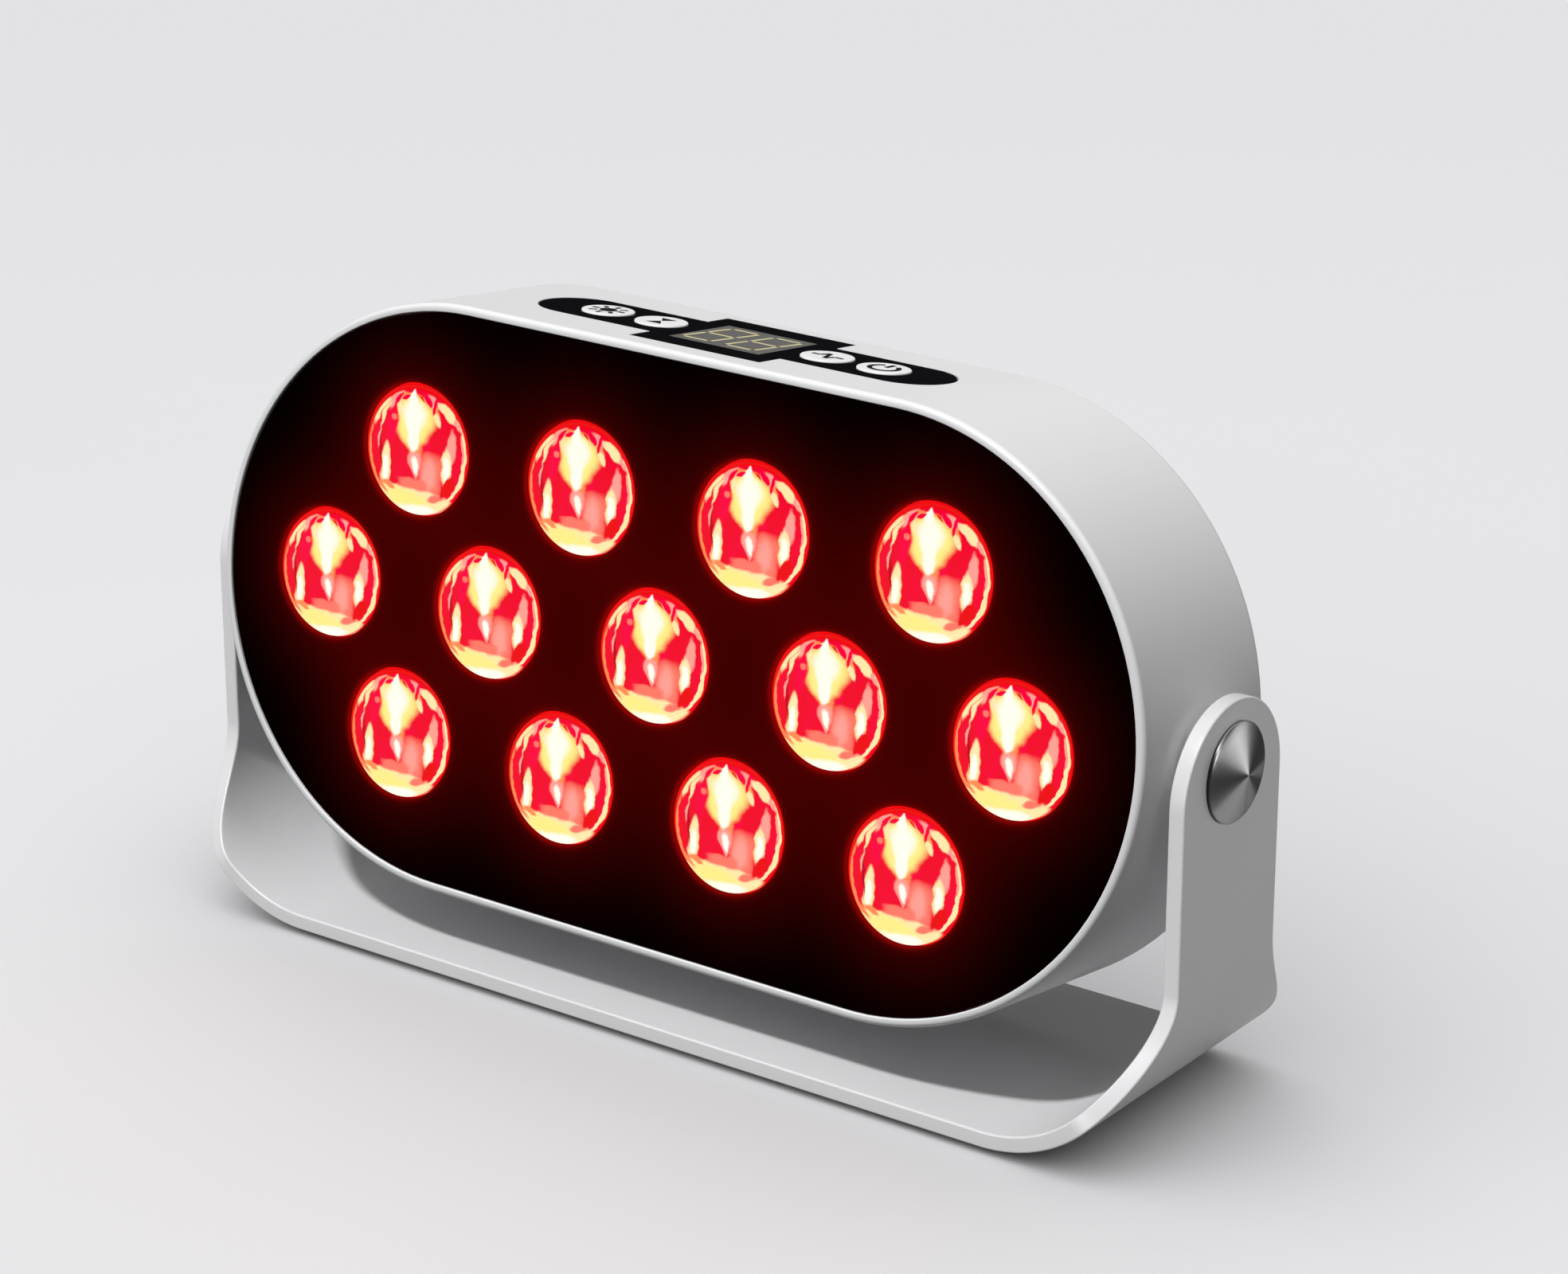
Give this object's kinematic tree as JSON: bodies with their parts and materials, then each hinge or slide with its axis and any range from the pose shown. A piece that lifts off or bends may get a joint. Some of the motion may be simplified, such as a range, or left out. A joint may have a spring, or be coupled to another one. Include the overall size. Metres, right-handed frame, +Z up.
{
  "type": "red light therapy lamp",
  "caption": "Table-top red light therapy lamp: obround head with a black lens panel, top controls and a vented back, tilting on side knobs in a bent U-shaped strap stand.",
  "frame": {"origin": "on the table, under the middle of the stand", "axes": "+X along the head from the left knob to the right knob, +Y away from the lit face towards the vented back, +Z up"},
  "size_m": [0.233, 0.0632, 0.1319],
  "materials": {
    "white_paint": "satin white paint on bent steel strap",
    "white_plastic": "satin white",
    "black_gloss": "polished black",
    "red_optic": "clear optic lit red from behind",
    "black_film": "satin black overlay",
    "grey_window": "smoked clear",
    "button_white": "satin white",
    "black_plastic": "moulded black",
    "board_white": "white solder mask on a metal core",
    "board_green": "green solder mask",
    "aluminium": "extruded, bare",
    "spun_metal": "spun face",
    "steel": "zinc plated",
    "brass": "turned",
    "nylon": "natural",
    "rubber": "matte"
  },
  "bodies": {
    "stand": {"bracket": "white_paint", "base_pad": "rubber"},
    "head": {"housing": "white_plastic", "front_panel": "black_gloss", "lens_01": "red_optic", "lens_02": "red_optic", "lens_03": "red_optic", "lens_04": "red_optic", "lens_05": "red_optic", "lens_06": "red_optic", "lens_07": "red_optic", "lens_08": "red_optic", "lens_09": "red_optic", "lens_10": "red_optic", "lens_11": "red_optic", "lens_12": "red_optic", "lens_13": "red_optic", "led_board": "board_white", "heat_sink": "aluminium", "control_strip": "black_film", "display_window": "grey_window", "display_module": "black_plastic", "control_board": "board_green", "rear_cover": "white_plastic", "rear_screw_1": "steel", "rear_screw_2": "steel", "rear_screw_3": "steel", "rear_screw_4": "steel", "rear_screw_5": "steel", "rear_screw_6": "steel", "fan_screw_1": "steel", "fan_screw_2": "steel", "fan_screw_3": "steel", "fan_screw_4": "steel", "dc_inlet": "black_plastic", "driver_board": "board_green", "fan_frame": "black_plastic", "washer_left": "nylon", "washer_right": "nylon", "insert_left": "brass", "insert_right": "brass"},
    "knob_left": {"knob_left": "spun_metal"},
    "knob_right": {"knob_right": "spun_metal"},
    "button_1": {"button_1": "button_white"},
    "button_2": {"button_2": "button_white"},
    "button_3": {"button_3": "button_white"},
    "button_4": {"button_4": "button_white"},
    "rotor": {"fan_rotor": "black_plastic"}
  },
  "joints": [
    {"name": "head_tilt", "type": "hinge", "parent": "stand", "child": "head", "pos_m": [0, 0, 0.07158], "axis": [1, 0, 0], "range_deg": [-82, 98]},
    {"name": "knob_left_turn", "type": "hinge", "parent": "head", "child": "knob_left", "pos_m": [-0.1137, 0, 0.07158], "axis": [-1, 0, 0], "range_deg": [0, 360]},
    {"name": "knob_right_turn", "type": "hinge", "parent": "head", "child": "knob_right", "pos_m": [0.1137, 0, 0.07158], "axis": [1, 0, 0], "range_deg": [0, 360]},
    {"name": "button_1_press", "type": "slide", "parent": "head", "child": "button_1", "axis": [0, -0.1357, -0.9907], "range_m": [0, 0.0004], "stiffness_N_per_m": 2500},
    {"name": "button_2_press", "type": "slide", "parent": "head", "child": "button_2", "axis": [0, -0.1357, -0.9907], "range_m": [0, 0.0004], "stiffness_N_per_m": 2500},
    {"name": "button_3_press", "type": "slide", "parent": "head", "child": "button_3", "axis": [0, -0.1357, -0.9907], "range_m": [0, 0.0004], "stiffness_N_per_m": 2500},
    {"name": "button_4_press", "type": "slide", "parent": "head", "child": "button_4", "axis": [0, -0.1357, -0.9907], "range_m": [0, 0.0004], "stiffness_N_per_m": 2500},
    {"name": "fan_spin", "type": "hinge", "parent": "head", "child": "rotor", "pos_m": [0, 0, 0.07158], "axis": [0, 0.9907, -0.1357], "continuous": true}
  ]
}
